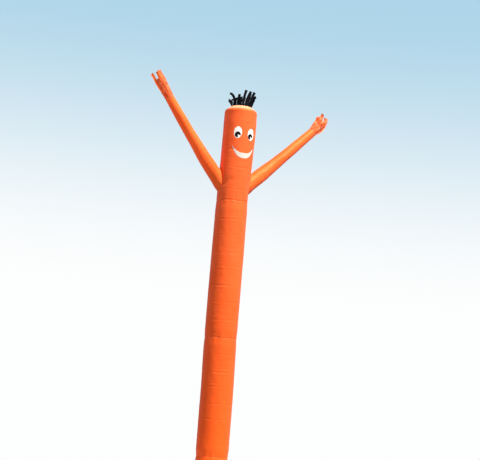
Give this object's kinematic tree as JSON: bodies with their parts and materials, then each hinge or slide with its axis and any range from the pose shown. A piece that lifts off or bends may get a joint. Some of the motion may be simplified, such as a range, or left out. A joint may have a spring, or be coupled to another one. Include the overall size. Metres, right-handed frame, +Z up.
{
  "type": "inflatable air dancer",
  "caption": "Tall upright nylon tube filled with air, with a face, two tapering raised arms ending in loose cloth strips, and a tuft of hair strips round the vent in its head.",
  "frame": {"origin": "middle of the whole box, seen from above, on the surface that the foot hem stands on", "axes": "+Z up along the tube, the face looks toward -Y, the arms reach toward -X and +X"},
  "size_m": [2.9044, 0.5602, 5.8361],
  "materials": {
    "orange_nylon": "thin coated nylon, slightly glossy and slightly see-through",
    "navy_nylon": "thin coated nylon strips",
    "white_nylon": "thin coated nylon patch",
    "black_nylon": "thin coated nylon patch"
  },
  "bodies": {
    "root": {"tube_sleeve": "orange_nylon", "tube_lower": "orange_nylon", "tube_middle": "orange_nylon", "tube_shoulder": "orange_nylon", "crown": "orange_nylon", "arm_left": "orange_nylon", "arm_right": "orange_nylon", "hand_left": "orange_nylon", "hand_right": "orange_nylon", "hair": "navy_nylon", "eye_left": "white_nylon", "eye_right": "white_nylon", "pupil_left": "black_nylon", "pupil_right": "black_nylon", "smile": "white_nylon"}
  },
  "joints": []
}
